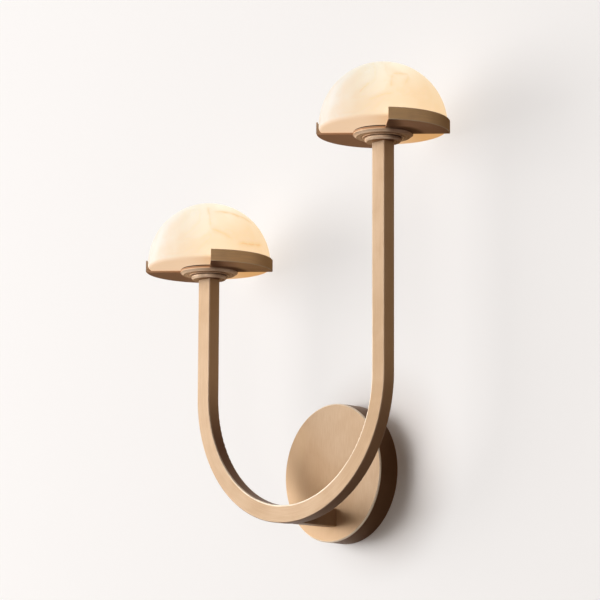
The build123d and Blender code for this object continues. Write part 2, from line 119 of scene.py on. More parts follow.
class WallLightSizes(bpy.types.PropertyGroup):
    """Sizes of the pieces that are modelled here"""

    dome_wall: length("Dome wall", "Thickness of the stone", 8.0 * MILLIMETRE)
    dome_floor: length("Dome floor", "Thickness of the stone's floor", 9.0 * MILLIMETRE)
    dome_skirt: length("Dome skirt", "Height of the straight skirt below the half sphere", 4.4 * MILLIMETRE)
    dome_edge: length("Dome edge", "Radius of the stone's lower edge", 3.0 * MILLIMETRE)
    mouth_radius: length("Mouth radius", "Radius of the hole in the stone's floor", 19.0 * MILLIMETRE)
    mouth_bevel: length("Mouth bevel", "Bevel at both ends of the hole", 0.8 * MILLIMETRE)
    grind_depth: length("Grind depth", "Depth of the shallow waves left by grinding", 0.2 * MILLIMETRE)
    grind_size: length("Grind size", "Width of those waves", 22.0 * MILLIMETRE)
    dome_steps: bpy.props.IntProperty(
        name="Dome steps", description="Steps of the stone's turn", default=160, min=24
    )
    thread_pitch: length("Thread pitch", "Distance between the turns of the thread", 1.0 * MILLIMETRE)
    thread_depth: length("Thread depth", "Depth of the nipple's thread", 0.45 * MILLIMETRE)
    nipple_bore: length("Nipple bore", "Radius of the nipple's bore", 3.5 * MILLIMETRE)
    glass_wall: length("Glass wall", "Thickness of the lamp's glass", 0.7 * MILLIMETRE)
    glass_neck: length("Glass neck", "Radius of the lamp's glass where it enters its base", 4.1 * MILLIMETRE)


class WallLightFinish(bpy.types.PropertyGroup):
    """Colours of the finishes"""

    brass_light: colour("Brass", "Satin brass of the plate and the tube", (0.53, 0.38, 0.255))
    # Also the trays' painted darkening where the key light falls
    brass_dark: colour("Patina", "Darker patina in the brass", (0.35, 0.215, 0.11))
    # Painted shade: darkens the tube's sides, the stem, the plate's rim and the plate's face towards the
    # lower left
    brass_shade: colour("Side patina", "Patina on the sides of the tube", (0.46, 0.235, 0.08))
    # Painted deep shade: round the bend's sides, on the stem near the tube, on the plate's rim and on the
    # trays' shaded parts
    brass_deep_shade: colour("Deep patina", "Patina of the wall plate's rim and the bend", (0.11, 0.048, 0.028))
    brass_sheen: colour("Sheen", "Tint of what the brass reflects", (1.0, 0.72, 0.46))
    # Painted light on the wall plate near its edge towards the lower left
    brass_painted_light: colour("Bright brass", "Brass where the wall plate is rubbed", (1.0, 0.71, 0.45))
    # Painted highlights on the edges of the tube, the plate and the trays, and a little real wear on the stem
    brass_highlight_and_wear: colour("Worn edge", "Brass where an edge is rubbed", (1.0, 0.88, 0.72))
    # Tones of the discs' painted highlights and painted shade
    disc_light: colour("Turned brass", "Ridges of the turned discs", (1.0, 0.77, 0.56))
    disc_dark: colour("Turned brass in grooves", "Grooves of the turned discs", (0.15, 0.064, 0.036))
    tray_light: colour("Tray brass", "Brushed brass of the trays", (1.0, 0.67, 0.35))
    tray_dark: colour("Tray patina", "Darker patina of the trays", (0.62, 0.375, 0.24))
    stone_pale: colour("Stone", "Pale part of the alabaster", (0.48, 0.47, 0.46))
    stone_warm: colour("Warm stone", "Warmer clouds in the alabaster", (0.5, 0.42, 0.33))
    stone_vein: colour("Vein", "Veins in the alabaster", (0.52, 0.33, 0.17))
    # Painted glow: emission colours that stand in for the lamp's light through the stone
    glow_high: colour("Glow above", "Light through the stone near its top", (1.0, 0.94, 0.76))
    glow_low: colour("Glow below", "Light through the stone near its floor", (1.0, 0.78, 0.52))
    glow_under: colour("Glow underneath", "Light through the stone's floor", (0.82, 0.57, 0.37))
    # Painted: the glow underneath, on the side away from the key light
    glow_under_shade_side: colour("Glow underneath, behind", "Light through the floor's denser side", (0.66, 0.34, 0.12))
    # Painted: a warmer glow on the side away from the key light
    glow_shade_side: colour("Glow at the side", "Light through the denser side of the stone", (0.86, 0.58, 0.3))
    # Painted: a whiter glow where the key light falls
    glow_lit: colour("Glow on the lit side", "Light through where the key light falls", (0.47, 0.43, 0.37))
    glow_vein: colour("Glow in veins", "Light through the stone's veins", (0.78, 0.47, 0.2))
    glow_cloud: colour("Glow in clouds", "Light through the stone's warmer clouds", (0.9, 0.58, 0.32))
    glow_strength: share("Glow strength", "Strength of the light through the stone", 0.99, 10.0)
    lamp_strength: share("Lamp strength", "Strength of the lamps' own light", 1.6, 10.0)
    steel: colour("Zinc", "Zinc-plated steel", (0.56, 0.57, 0.58))
    steel_dull: colour("Dull zinc", "Dull patches of the zinc", (0.4, 0.41, 0.42))


class WallLightStage(bpy.types.PropertyGroup):
    """The wall, the floor, the light and the camera"""

    wall: colour("Wall", "Pale wall", (0.84, 0.815, 0.8))
    pale: colour("Pale", "Pale tone of the far wall, the floor and the room", (0.955, 0.925, 0.905))
    floor: colour("Floor", "Pale floor", (0.78, 0.76, 0.74))
    blotch: colour("Blotch", "Faint darker clouds in the wall and the floor", (0.6, 0.57, 0.55))
    sky: colour("Room", "Light of the room all round", (1.0, 0.64, 0.37))
    sky_strength: share("Room strength", "Strength of the room's light", 0.08, 10.0)
    key_power: power("Key power", "Power of the soft light on the left", 92.0)
    key_size: length("Key size", "Side of that light", 1.6)
    key_place: spot("Key place", "Middle of that light", (-2.74, -1.92, 0.5))
    front_power: power("Front power", "Power of the large softer light beside it", 80.0)
    front_size: length("Front size", "Side of that light", 3.0)
    front_place: spot("Front place", "Middle of that light", (-2.58, -2.08, 0.5))
    side_power: power("Side power", "Power of the faint light on the right", 16.0)
    side_size: length("Side size", "Side of that light", 2.0)
    side_place: spot("Side place", "Middle of that light", (1.5, -2.8, 0.2))
    back_power: power("Back power", "Power of the light behind the wall, for views of the back", 60.0)
    back_size: length("Back size", "Side of that light", 2.5)
    back_place: spot("Back place", "Middle of that light", (-1.9, 2.2, 1.9))
    wall_gap: length("Wall gap", "Gap between the wall plate and the wall", 0.4 * MILLIMETRE)
    shadow_reach: length("Shadow reach", "How far the wall takes the plate's full shadow", 0.052)
    floor_drop: length("Floor drop", "Height of the floor below the plate's middle", 0.6)
    backdrop_size: length("Backdrop size", "Side of the wall and of the floor", 9.0)
    camera_place: spot("Camera place", "Where the camera stands", (2.0144, -1.9041, -0.3223))
    camera_way: bpy.props.FloatVectorProperty(
        name="Camera way", description="The way that the camera looks", default=(-0.72674, 0.66574, 0.1692)
    )
    camera_roll: bpy.props.FloatProperty(
        name="Camera roll",
        description="Turn about the way that it looks",
        default=math.radians(0.28),
        subtype="ANGLE",
    )
    camera_lens: bpy.props.FloatProperty(
        name="Lens", description="Focal length in millimetres on a 36 mm frame", default=192.98, min=1.0
    )


def node(tree, kind, inputs=None, **settings):
    """Add a node, apply its settings, and set or link each input."""
    made = tree.nodes.new(kind)
    for key, value in settings.items():
        setattr(made, key, value)
    for key, value in (inputs or {}).items():
        if isinstance(value, bpy.types.NodeSocket):
            tree.links.new(value, made.inputs[key])
        else:
            made.inputs[key].default_value = value
    return made


def calc(tree, operation, *values):
    """The result of a Math node."""
    return node(tree, "ShaderNodeMath", dict(enumerate(values)), operation=operation).outputs[0]


def vector_calc(tree, operation, *values):
    """The result of a Vector Math node: a number for a length, distance or dot product, else a vector."""
    made = node(tree, "ShaderNodeVectorMath", dict(enumerate(values)), operation=operation)
    number = operation in {"LENGTH", "DISTANCE", "DOT_PRODUCT"}
    return made.outputs["Value" if number else "Vector"]


def ease(tree, value, start, end, low=0.0, high=1.0):
    """A smooth step from low to high as the value goes from start to end."""
    inputs = {"Value": value, "From Min": start, "From Max": end, "To Min": low, "To Max": high}
    return node(tree, "ShaderNodeMapRange", inputs, interpolation_type="SMOOTHSTEP").outputs["Result"]


def grade(tree, factor, first, second):
    """Two colours blended by a factor."""
    made = node(tree, "ShaderNodeMix", data_type="RGBA")
    for index, value in ((0, factor), (6, first), (7, second)):
        if isinstance(value, bpy.types.NodeSocket):
            tree.links.new(value, made.inputs[index])
        elif index:
            made.inputs[index].default_value = (*value, 1.0)
        else:
            made.inputs[index].default_value = value
    return made.outputs[2]


def cloud(tree, place, scale, detail=3.0, rough=0.55, twist=0.0):
    """Noise as a number about one half."""
    inputs = {"Vector": place, "Scale": scale, "Detail": detail, "Roughness": rough, "Distortion": twist}
    return node(tree, "ShaderNodeTexNoise", inputs).outputs["Fac"]


def ramp(tree, value, stops):
    """A number that goes in straight lines through the stops, each a value and a height from 0 to 1."""
    top = stops[-1][0]
    made = node(tree, "ShaderNodeValToRGB", {0: calc(tree, "DIVIDE", value, top)})
    marks = made.color_ramp.elements
    while len(marks) < len(stops):
        marks.new(0.5)
    for mark, (at, height) in zip(marks, stops):
        mark.position = at / top
        mark.color = (height, height, height, 1.0)
    return made.outputs[0]


def stretch(tree, place, scale):
    """The place stretched along its axes."""
    return node(tree, "ShaderNodeMapping", {"Vector": place, "Scale": scale}, vector_type="POINT").outputs[0]


def finish(name, roughness=0.5, metallic=0.0, specular=0.5, sockets=None):
    """A new material: its tree, its shader and Object coordinates."""
    material = bpy.data.materials.new(name)
    material.use_nodes = True
    tree = material.node_tree
    shader = tree.nodes["Principled BSDF"]
    shader.inputs["Roughness"].default_value = roughness
    shader.inputs["Metallic"].default_value = metallic
    shader.inputs["Specular IOR Level"].default_value = specular
    for key, value in (sockets or {}).items():
        shader.inputs[key].default_value = value
    place = node(tree, "ShaderNodeTexCoord").outputs["Object"]
    return material, tree, shader, place


def rough_and_bump(tree, shader, grain, low, high, depth, strength=0.35):
    """Let a grain drive the roughness and a shallow bump."""
    tree.links.new(ease(tree, grain, 0.25, 0.75, low, high), shader.inputs["Roughness"])
    bump = node(tree, "ShaderNodeBump", {"Strength": strength, "Distance": depth, "Height": grain})
    tree.links.new(bump.outputs["Normal"], shader.inputs["Normal"])


def dress(names, material):
    """Put a material on CAD nodes."""
    for name in names:
        mesh = NODES[name].data
        mesh.materials.clear()
        mesh.materials.append(material)


def each_side(*names):
    """The names of like pieces on both arms."""
    return [f"{side}_{name}" for side in SIDES for name in names]


def round_box(box):
    """The middle of a round piece's foot, its radius and its height, from its box."""
    low, high = box
    foot = Vector(((low.x + high.x) / 2, (low.y + high.y) / 2, low.z))
    return foot, (high.x - low.x) / 2, high.z - low.z


def on_left(tree, place):
    """One on the left arm and nothing on the right one."""
    x = node(tree, "ShaderNodeSeparateXYZ", {0: place}).outputs["X"]
    return calc(tree, "LESS_THAN", x, 0.0)


def from_arm(tree, place):
    """Distance from the nearer arm's axis, angle about it, and height above the underside of its tray."""
    x, y, z = node(tree, "ShaderNodeSeparateXYZ", {0: place}).outputs
    low, high = (TRAY_BOX[side][0].z for side in SIDES)
    under = calc(tree, "MULTIPLY_ADD", calc(tree, "GREATER_THAN", x, 0.0), high - low, low)
    across = calc(tree, "SUBTRACT", calc(tree, "ABSOLUTE", x), ARM_X)
    deep = calc(tree, "SUBTRACT", y, ARM_Y)
    square = calc(tree, "ADD", calc(tree, "MULTIPLY", across, across), calc(tree, "MULTIPLY", deep, deep))
    level = calc(tree, "SUBTRACT", z, under)
    return calc(tree, "SQRT", square), calc(tree, "ARCTAN2", deep, across), level


def towards_light(tree, place):
    """How far a place lies from the nearer arm's axis towards the key light."""
    x, y = node(tree, "ShaderNodeSeparateXYZ", {0: place}).outputs[:2]
    across = calc(tree, "SUBTRACT", x, calc(tree, "MULTIPLY", calc(tree, "SIGN", x), ARM_X))
    deep = calc(tree, "SUBTRACT", y, ARM_Y)
    return calc(tree, "MULTIPLY_ADD", across, LIT_WAY.x, calc(tree, "MULTIPLY", deep, LIT_WAY.y))


def rings(tree, radius, angle, level, fine, round_about):
    """Noise drawn out round an arm's axis, as a lathe or a brush leaves it."""
    place = {0: calc(tree, "MULTIPLY", radius, fine), 2: calc(tree, "MULTIPLY", level, fine)}
    place[1] = calc(tree, "MULTIPLY", angle, round_about)
    return cloud(tree, node(tree, "ShaderNodeCombineXYZ", place).outputs[0], 1.0, detail=3.0)


def along_tube(tree, place):
    """Distance from the tube's middle line in the U's plane, depth from that line, and length along the U.

    The length counts in metres from the lowest point, and is negative up the left arm.
    """
    x, y, z = node(tree, "ShaderNodeSeparateXYZ", {0: place}).outputs
    rise = calc(tree, "SUBTRACT", z, BEND_Z)
    below = calc(tree, "MINIMUM", rise, 0.0)
    flat = node(tree, "ShaderNodeCombineXYZ", {0: x, 1: 0.0, 2: below}).outputs[0]
    across = calc(tree, "SUBTRACT", vector_calc(tree, "LENGTH", flat), BEND_RADIUS)
    deep = calc(tree, "SUBTRACT", y, ARM_Y)
    turn = calc(tree, "ARCTAN2", x, calc(tree, "MULTIPLY", below, -1.0))
    arm = calc(tree, "MULTIPLY", calc(tree, "SIGN", x), calc(tree, "MAXIMUM", rise, 0.0))
    run = calc(tree, "MULTIPLY_ADD", turn, BEND_RADIUS, arm)
    return across, deep, run


def satin_brass(name, marks, metallic=0.2, patina=0.35):
    """Satin brass. marks gives a piece's brush marks and the layers over them: patina, wear, painted shade
    and painted highlights.
    """
    colours = bpy.context.scene.wall_light_finish
    sheen = {"Specular Tint": (*colours.brass_sheen, 1.0)}
    material, tree, shader, place = finish(name, metallic=metallic, specular=0.05, sockets=sheen)
    grain, layers = marks(tree, place)
    stain = cloud(tree, place, 24.0, detail=3.0, rough=0.5, twist=0.6)
    speck = cloud(tree, place, 420.0, detail=2.0)
    dark = calc(tree, "ADD", ease(tree, stain, 0.35, 0.7), ease(tree, speck, 0.5, 0.9, 0.0, 0.3))
    tone = grade(tree, calc(tree, "MULTIPLY", dark, patina), colours.brass_light, colours.brass_dark)
    tone = grade(tree, ease(tree, grain, 0.3, 0.75, 0.0, 0.25), tone, colours.brass_dark)
    for layer, strength in layers:
        tone = grade(tree, strength, tone, getattr(colours, layer))
    tree.links.new(tone, shader.inputs["Base Color"])
    rough_and_bump(tree, shader, grain, 0.3, 0.44, 0.05 * MILLIMETRE, 0.25)
    return material


# Stretches of the U, in metres from its lowest point, that marks come and go over
# Line by line: a painted highlight on the inner edge, painted shade round the bend, and a darker tone on the
# right
HIGHLIGHT_START, HIGHLIGHT_END = (-0.15, -0.03), (0.12, 0.32)
BEND_MIDDLE, BEND_END = (0.03, 0.12), (0.12, 0.2)
WARM_START, WARM_END = (0.03, 0.12), (0.2, 0.3)
# Width of the tube's edges that carry the painted highlight
HIGHLIGHT_EDGE = 1.8 * MILLIMETRE


def tube_marks(tree, place):
    """Brush marks along the tube, painted highlights on its edges, most inside the bend, and painted shade on
    its sides.
    """
    across, deep, run = along_tube(tree, place)
    drawn = calc(tree, "MULTIPLY", run, 0.02)
    fine = node(tree, "ShaderNodeCombineXYZ", {0: across, 1: deep, 2: drawn}).outputs[0]
    grain = cloud(tree, fine, 2600.0, detail=2.0)
    inner = calc(tree, "LESS_THAN", across, 0.0)
    across, deep = calc(tree, "ABSOLUTE", across), calc(tree, "ABSOLUTE", deep)
    # Painted highlight on the tube's edges in random patches, strong on the inner edge of the bend and faint
    # elsewhere
    side = ease(tree, across, BAR_HALF_WIDTH - HIGHLIGHT_EDGE, BAR_HALF_WIDTH - HIGHLIGHT_EDGE / 3)
    face = ease(tree, deep, BAR_HALF_DEPTH - HIGHLIGHT_EDGE, BAR_HALF_DEPTH - HIGHLIGHT_EDGE / 3)
    patch = ease(tree, cloud(tree, place, 60.0), 0.35, 0.65, 0.75, 1.0)
    rubbed = ease(tree, run, *HIGHLIGHT_START, 0.15, 1.0)
    rubbed = calc(tree, "MULTIPLY", rubbed, ease(tree, run, *HIGHLIGHT_END, 1.0, 0.2))
    rubbed = calc(tree, "MAXIMUM", calc(tree, "MULTIPLY", inner, rubbed), 0.08)
    wear_and_highlight = calc(tree, "MULTIPLY", calc(tree, "MULTIPLY", side, face), calc(tree, "MULTIPLY", patch, rubbed))
    # Painted shade on the tube's sides, deepest round the bend and on its inner side
    away = calc(tree, "ABSOLUTE", run)
    bend = ease(tree, away, *BEND_MIDDLE, 0.88, 0.64)
    bend = calc(tree, "MAXIMUM", calc(tree, "MULTIPLY", inner, 0.9), bend)
    bend = calc(tree, "MULTIPLY", bend, ease(tree, away, *BEND_END, 1.0, 0.0))
    flank = ease(tree, across, BAR_HALF_WIDTH - 0.5 * MILLIMETRE, BAR_HALF_WIDTH - 0.1 * MILLIMETRE)
    warm = ease(tree, run, *WARM_START, 0.0, 0.2)
    warm = calc(tree, "MULTIPLY", warm, ease(tree, run, *WARM_END, 1.0, 0.0))
    painted_dark, dark = calc(tree, "MULTIPLY", flank, 0.5), calc(tree, "MULTIPLY", flank, bend)
    return grain, (("brass_dark", warm), ("brass_shade", painted_dark), ("brass_deep_shade", dark), ("brass_highlight_and_wear", wear_and_highlight))


def stem_marks(tree, place):
    """Brush marks along the stem, a little wear, and painted shade over it that deepens towards the tube."""
    grain = cloud(tree, stretch(tree, place, (2600.0, 50.0, 2600.0)), 1.0, detail=2.0)
    y = node(tree, "ShaderNodeSeparateXYZ", {0: place}).outputs["Y"]
    # Painted shade, deepening towards the tube
    deep = ease(tree, y, PLATE_LOW.y, TUBE_HIGH.y, 0.5, 0.76)
    wear_and_highlight = calc(tree, "MULTIPLY", cloud(tree, place, 90.0), 0.13)
    return grain, (("brass_shade", 0.3), ("brass_deep_shade", deep), ("brass_highlight_and_wear", wear_and_highlight))


def plate_marks(tree, place):
    """Fine brush marks up the wall plate, a painted highlight round its front edge, painted light at its
    lower left edge, and painted shade low on its face and on its rim.
    """
    grain = cloud(tree, stretch(tree, place, (1800.0, 1800.0, 90.0)), 1.0, detail=3.0)
    x, y, z = node(tree, "ShaderNodeSeparateXYZ", {0: place}).outputs
    flat = node(tree, "ShaderNodeCombineXYZ", {0: x, 1: 0.0, 2: z}).outputs[0]
    reach = vector_calc(tree, "LENGTH", flat)
    rim = ease(tree, reach, PLATE_HIGH.x - 1.3 * MILLIMETRE, PLATE_HIGH.x - 0.6 * MILLIMETRE)
    front = ease(tree, y, PLATE_LOW.y + 1.6 * MILLIMETRE, PLATE_LOW.y + 0.7 * MILLIMETRE)
    turned = ease(tree, y, PLATE_LOW.y + 1.0 * MILLIMETRE, PLATE_LOW.y + 2.0 * MILLIMETRE)
    turned = calc(tree, "MULTIPLY", rim, turned)
    low = calc(tree, "MULTIPLY_ADD", x, PLATE_LIGHT_WAY.x, calc(tree, "MULTIPLY", z, PLATE_LIGHT_WAY.z))
    radius = PLATE_HIGH.x
    # Painted shade on the face towards the lower left
    painted_dark = ease(tree, low, -0.5 * radius, 0.4 * radius, 0.0, 0.3)
    # Painted light near the plate's edge towards the lower left
    bright = ease(tree, low, -0.2 * radius, 0.4 * radius, 0.0, 0.36)
    bright = calc(tree, "MULTIPLY", bright, ease(tree, reach, 0.55 * radius, 0.95 * radius))
    bright = calc(tree, "SUBTRACT", bright, turned)
    # Painted shade on the plate's rim
    deep = calc(tree, "MULTIPLY", turned, 0.75)
    # Painted highlight round the plate's front edge
    wear_and_highlight = calc(tree, "MULTIPLY", calc(tree, "MULTIPLY", rim, front), 0.85)
    painted_dark = calc(tree, "MAXIMUM", painted_dark, calc(tree, "MULTIPLY", turned, 0.5))
    return grain, (("brass_shade", painted_dark), ("brass_painted_light", bright), ("brass_deep_shade", deep), ("brass_highlight_and_wear", wear_and_highlight))


# Where the wide disc's lip begins and the small disc's lip ends, in millimetres from the arm's axis
WIDE_LIP, SMALL_LIP = 22.3, 15.65
# How light the turned discs are painted, by millimetres from the arm's axis: dark grooves are painted shade,
# bright lips painted highlights
DISC_TONES = (
    (0.0, 0.18),
    (13.8, 0.18),
    (14.2, 0.9),
    (15.4, 1.0),
    (SMALL_LIP, 1.0),
    (15.9, 0.0),
    (16.8, 0.4),
    (17.2, 0.9),
    (17.55, 0.9),
    (17.9, 0.04),
    (19.5, 0.5),
    (WIDE_LIP, 0.4),
    (22.8, 1.0),
    (24.6, 0.75),
    (25.0, 0.6),
    (25.4, 1.0),
)
# Stretches across the discs, towards the key light, that their painted shade and painted light come and go
# over
DISC_SHADE = (-12.0 * MILLIMETRE, 8.0 * MILLIMETRE)
DISC_DEEP = (-21.0 * MILLIMETRE, -13.0 * MILLIMETRE)
LIP_SHADE = (-10.0 * MILLIMETRE, -2.0 * MILLIMETRE)
DISC_LIT = (-4.0 * MILLIMETRE, 14.0 * MILLIMETRE)


def turned_brass():
    """Brass with a lathe's fine rings, painted shade in the grooves and away from the key light, painted
    light towards it, and painted highlights on the lips.
    """
    colours = bpy.context.scene.wall_light_finish
    sheen = {"Specular Tint": (*colours.brass_sheen, 1.0)}
    material, tree, shader, place = finish("turned_brass", metallic=0.3, specular=0.0, sockets=sheen)
    radius, angle, level = from_arm(tree, place)
    grain = rings(tree, radius, angle, level, 2400.0, 0.8)
    stain = cloud(tree, place, 70.0, detail=4.0)
    light = ramp(tree, radius, [(at * MILLIMETRE, height) for at, height in DISC_TONES])
    tone = grade(tree, light, colours.disc_dark, colours.disc_light)
    # Painted shade on the side away from the key light, most on the lips and less on the left disc, and
    # painted light on the side towards it
    lean = towards_light(tree, place)
    shaded = ease(tree, lean, *DISC_SHADE, 0.18, 0.0)
    shaded = calc(tree, "ADD", shaded, ease(tree, lean, *DISC_DEEP, 0.6, 0.0))
    wide = ease(tree, radius, WIDE_LIP * MILLIMETRE, (WIDE_LIP + 0.6) * MILLIMETRE)
    small = ease(tree, radius, (SMALL_LIP + 0.25) * MILLIMETRE, SMALL_LIP * MILLIMETRE)
    lip = ease(tree, lean, *LIP_SHADE, 0.78, 0.0)
    lip = calc(tree, "MULTIPLY", calc(tree, "MAXIMUM", wide, small), lip)
    shaded = calc(tree, "MAXIMUM", shaded, lip)
    less = calc(tree, "MULTIPLY_ADD", on_left(tree, place), -0.4, 1.0)
    shaded = calc(tree, "MULTIPLY", shaded, less)
    tone = grade(tree, shaded, tone, colours.disc_dark)
    lit = ease(tree, lean, *DISC_LIT, 0.0, 0.3)
    tone = grade(tree, lit, tone, colours.disc_light)
    tone = grade(tree, ease(tree, grain, 0.35, 0.75, 0.0, 0.28), tone, colours.disc_dark)
    tone = grade(tree, ease(tree, stain, 0.45, 0.75, 0.0, 0.22), tone, colours.disc_dark)
    tree.links.new(tone, shader.inputs["Base Color"])
    rough_and_bump(tree, shader, grain, 0.22, 0.36, 0.06 * MILLIMETRE, 0.4)
    return material


def tray_brass():
    """Darker brass, brushed round the tray, with patina, painted highlights on the rim's edges, painted shade
    away from the key light and beside the disc, and painted darkening where the light falls.
    """
    colours = bpy.context.scene.wall_light_finish
    sheen = {"Specular Tint": (*colours.brass_sheen, 1.0)}
    material, tree, shader, place = finish("tray_brass", metallic=0.08, specular=0.0, sockets=sheen)
    radius, angle, level = from_arm(tree, place)
    grain = rings(tree, radius, angle, level, 1800.0, 2.5)
    patina = cloud(tree, place, 45.0, detail=3.0, twist=0.3)
    low, high = TRAY_BOX["right"]
    outer, tall = high.x - ARM_X, high.z - low.z
    rim = ease(tree, radius, outer - 0.9 * MILLIMETRE, outer - 0.3 * MILLIMETRE)
    tone = grade(tree, rim, colours.tray_dark, colours.tray_light)
    lean = towards_light(tree, place)
    left = on_left(tree, place)
    start = calc(tree, "MULTIPLY_ADD", left, 0.35 * outer, -0.3 * outer)
    # Painted darkening on the rim where the key light falls, holding back that light, less on the left tray
    painted_dark = calc(tree, "MULTIPLY", ease(tree, lean, start, 0.5 * outer, 0.0, 0.85), rim)
    tone = grade(tree, painted_dark, tone, colours.brass_dark)
    inside = calc(tree, "SUBTRACT", ease(tree, level, 0.8 * MILLIMETRE, 1.3 * MILLIMETRE, 0.0, 0.85), rim)
    tone = grade(tree, inside, tone, colours.brass_light)
    # Painted shade on the side away from the key light
    tone = grade(tree, ease(tree, lean, -outer, -0.7 * outer, 0.3, 0.0), tone, colours.brass_deep_shade)
    under = ease(tree, level, 0.1 * MILLIMETRE, 0.4 * MILLIMETRE, 1.0, 0.0)
    # Lighter underneath the left tray, on the side away from the key light
    lighter_under_left = calc(tree, "MULTIPLY", left, ease(tree, lean, -0.35 * outer, -0.6 * outer, 0.0, 0.6))
    tone = grade(tree, calc(tree, "MULTIPLY", lighter_under_left, under), tone, colours.tray_light)
    # Painted shade underneath, beside the disc and towards the front, on the side away from the key light
    corner = ease(tree, radius, 0.53 * outer, 0.67 * outer, 0.85, 0.0)
    corner = calc(tree, "MAXIMUM", corner, ease(tree, lean, -0.4 * outer, -0.2 * outer, 0.0, 0.75))
    corner = calc(tree, "MULTIPLY", corner, ease(tree, lean, -0.04 * outer, -0.16 * outer))
    tone = grade(tree, calc(tree, "MULTIPLY", corner, under), tone, colours.brass_deep_shade)
    tone = grade(tree, ease(tree, grain, 0.35, 0.75, 0.0, 0.28), tone, colours.tray_dark)
    tone = grade(tree, ease(tree, patina, 0.45, 0.75, 0.0, 0.22), tone, colours.tray_dark)
    # Painted highlights along the rim's top and bottom edges
    foot = ease(tree, level, 0.2 * MILLIMETRE, 0.9 * MILLIMETRE, 1.0, 0.0)
    lip = ease(tree, level, tall - 0.9 * MILLIMETRE, tall - 0.2 * MILLIMETRE)
    edge = calc(tree, "MULTIPLY", calc(tree, "MAXIMUM", foot, lip), rim)
    tone = grade(tree, calc(tree, "MULTIPLY", edge, 0.55), tone, colours.brass_highlight_and_wear)
    tree.links.new(tone, shader.inputs["Base Color"])
    rough_and_bump(tree, shader, grain, 0.3, 0.46, 0.05 * MILLIMETRE, 0.3)
    return material


# Ends of each dome's clear veins, from the middle of its floor, in millimetres, with how strong each is
VEINS = {
    "left": (
        ((20, -20, 51), (38, -31, 28), 0.36),
        ((38, -31, 28), (50, -17, 18.5), 0.5),
        ((52, -11, 14), (49, 18.5, 18), 0.8),
        ((30, -19, 45.5), (40, 14, 38), 0.7),
        ((-20, 30, 45), (-45, 8, 24), 0.5),
        ((-48, -20, 14), (-30, -42, 20), 0.35),
        ((-25, 8, 48), (-45, -15, 25), 0.38),
        ((-45, -15, 25), (-52, 6, 14), 0.32),
    ),
    "right": (
        ((35, -23, 39), (40, -29.5, 26.5), 0.4),
        ((34.5, -22, 40), (39.5, -9, 40.5), 0.45),
        ((40, -10, 40), (45, -18.5, 28), 0.35),
        ((20.5, -47, 22), (25.5, -40, 31), 0.4),
        ((28.5, -45, 15), (42, -30, 21.5), 0.35),
        ((-10, 44, 30), (-42, 26, 22), 0.5),
        ((-30, -8, 44), (-50, -16, 14), 0.36),
        ((-24, 2, 48), (-46, 14, 24), 0.3),
    ),
}
# Half widths of a vein's core and of its cloud, and how far it wanders
VEIN_CORE, VEIN_CLOUD, VEIN_WANDER = 1.3 * MILLIMETRE, 5.0 * MILLIMETRE, 3.0 * MILLIMETRE


def stone_veins(tree, place, side, middle):
    """How strong the veins are: clear ones at their places, each in a cloud, and faint ones all over."""
    drift = cloud(tree, place, 70.0, detail=3.0)
    wander = calc(tree, "MULTIPLY_ADD", drift, 2 * VEIN_WANDER, -VEIN_WANDER)
    swirl = cloud(tree, place, 15.0, detail=3.0, twist=1.4)
    vein = ease(tree, calc(tree, "ABSOLUTE", calc(tree, "SUBTRACT", swirl, 0.5)), 0.0, 0.05, 0.1, 0.0)
    for start, end, strength in VEINS[side]:
        start, end = Vector(start) * MILLIMETRE, Vector(end) * MILLIMETRE
        normal = (start - middle).cross(end - middle).normalized()
        away = vector_calc(tree, "DOT_PRODUCT", vector_calc(tree, "SUBTRACT", place, middle), normal)
        away = calc(tree, "ABSOLUTE", calc(tree, "ADD", away, wander))
        core = ease(tree, away, 0.0, VEIN_CORE, strength * 0.45, 0.0)
        haze = ease(tree, away, 0.0, VEIN_CLOUD, strength * 0.5, 0.0)
        reach = (end - start).length / 2
        off = vector_calc(tree, "DISTANCE", place, (start + end) / 2)
        near = ease(tree, off, reach * 0.6, reach * 1.25, 1.0, 0.0)
        vein = calc(tree, "MAXIMUM", vein, calc(tree, "MULTIPLY", calc(tree, "ADD", core, haze), near))
    return vein


